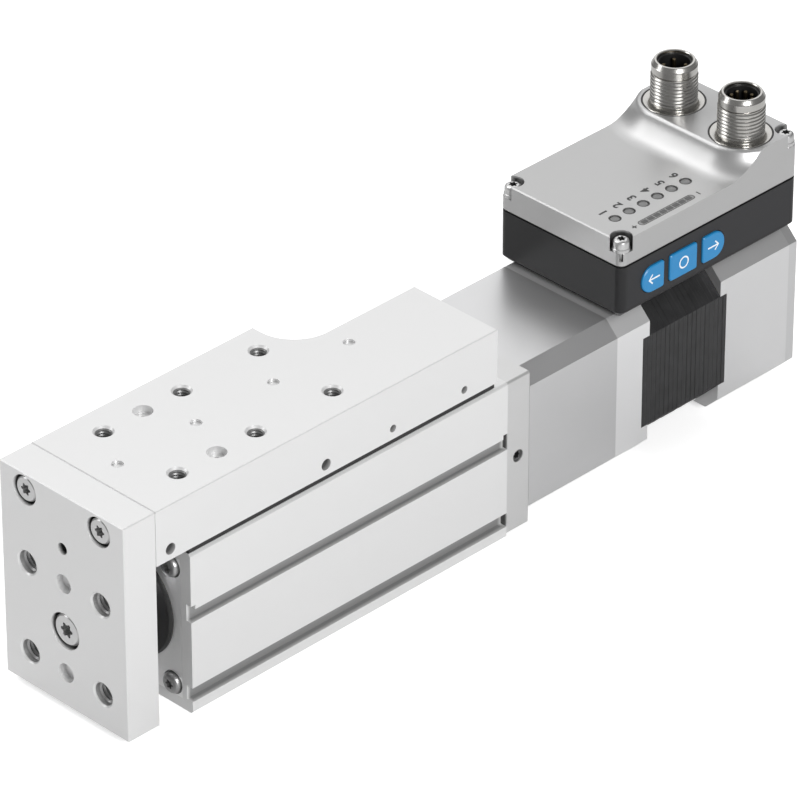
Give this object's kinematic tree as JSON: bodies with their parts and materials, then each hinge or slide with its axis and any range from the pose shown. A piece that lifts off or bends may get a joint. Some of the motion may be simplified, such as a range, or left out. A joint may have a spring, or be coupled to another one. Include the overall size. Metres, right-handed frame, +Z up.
{
  "type": "electric linear actuator",
  "caption": "Compact electric slide actuator: a guided table on a ball screw, with an in-line stepper motor and a motor drive box with push buttons and round plug sockets.",
  "frame": {"origin": "middle of the underside of the body profile, the face that the actuator is bolted down on", "axes": "+Z up, out of the table's top; -Y is the way the table moves out, with the motor at the +Y end; +X is the side of the drive box that has the push buttons"},
  "size_m": [0.0424, 0.2287, 0.0841],
  "materials": {
    "anodised_aluminium": "satin, bead blasted",
    "cast_aluminium": "satin, fine grained",
    "black_seal": "smooth",
    "bearing_bronze": "satin",
    "steel": "polished",
    "screw_steel": "satin",
    "white_plug": "matte",
    "elastomer": "matte",
    "black_steel": "gloss",
    "copper": "gloss",
    "magnet": "satin",
    "circuit_board": "satin",
    "black_plastic": "satin gloss",
    "blue_button": "satin",
    "light_lens": "satin",
    "window_dark": "satin",
    "nickel": "bright",
    "contact_gold": "bright",
    "black_insert": "matte"
  },
  "bodies": {
    "housing": {"body_profile": "anodised_aluminium", "front_cover": "anodised_aluminium", "front_cover_screws": "screw_steel", "rod_seal": "black_seal", "rod_bush": "bearing_bronze", "rear_cover": "anodised_aluminium", "rear_cover_screws": "screw_steel", "cover_side_plug": "white_plug", "end_buffer": "elastomer", "screw_bearing_outer": "steel", "screw_bearing_balls": "steel", "guide_blocks": "steel", "guide_block_caps": "black_plastic", "guide_block_screws": "screw_steel", "coupling_housing": "cast_aluminium", "housing_screws": "screw_steel", "motor_front_flange": "cast_aluminium", "motor_laminations": "black_steel", "motor_windings": "copper", "motor_rear_housing": "cast_aluminium", "motor_end_plate": "cast_aluminium", "motor_screws": "screw_steel", "motor_bearings": "steel", "encoder_board": "circuit_board", "drive_base": "black_plastic", "drive_base_screw": "screw_steel", "drive_board": "circuit_board", "drive_gasket": "black_seal", "drive_cover": "cast_aluminium", "drive_cover_screws": "screw_steel", "control_panel": "black_plastic", "status_lights": "light_lens", "level_window": "window_dark", "power_socket_shell": "nickel", "signal_socket_shell": "nickel", "power_socket_insert": "black_insert", "signal_socket_insert": "black_insert", "power_socket_pins": "contact_gold", "signal_socket_pins": "contact_gold", "socket_seals": "black_seal"},
    "carriage": {"yoke_plate": "anodised_aluminium", "yoke_screws": "screw_steel", "rod_screw": "screw_steel", "slide_table": "anodised_aluminium", "guide_rail": "steel", "rail_screws": "screw_steel", "piston_rod": "steel", "ball_nut": "steel", "nut_guide_ring": "white_plug"},
    "spindle": {"ball_screw": "steel", "screw_bearing_inner": "steel", "coupling_hub_screw_side": "cast_aluminium", "coupling_spider": "elastomer", "coupling_hub_motor_side": "cast_aluminium", "motor_shaft": "steel", "motor_rotor": "magnet", "encoder_magnet": "magnet"},
    "button_back": {"button_back": "blue_button"},
    "button_middle": {"button_middle": "blue_button"},
    "button_forward": {"button_forward": "blue_button"}
  },
  "joints": [
    {"name": "table_slide", "type": "slide", "parent": "housing", "child": "carriage", "axis": [0, -1, 0], "range_m": [0, 0.05]},
    {"name": "spindle_turn", "type": "hinge", "parent": "housing", "child": "spindle", "pos_m": [0, 0, 0.0233], "axis": [0, 1, 0], "range_deg": [-10, 1810]},
    {"name": "back_press", "type": "slide", "parent": "housing", "child": "button_back", "axis": [-1, 0, 0], "range_m": [0, 0.0004], "stiffness_N_per_m": 1500},
    {"name": "middle_press", "type": "slide", "parent": "housing", "child": "button_middle", "axis": [-1, 0, 0], "range_m": [0, 0.0004], "stiffness_N_per_m": 1500},
    {"name": "forward_press", "type": "slide", "parent": "housing", "child": "button_forward", "axis": [-1, 0, 0], "range_m": [0, 0.0004], "stiffness_N_per_m": 1500}
  ],
  "couplings": [
    {"joint": "spindle_turn", "follows": "table_slide", "rad_per_m": 628.32}
  ]
}
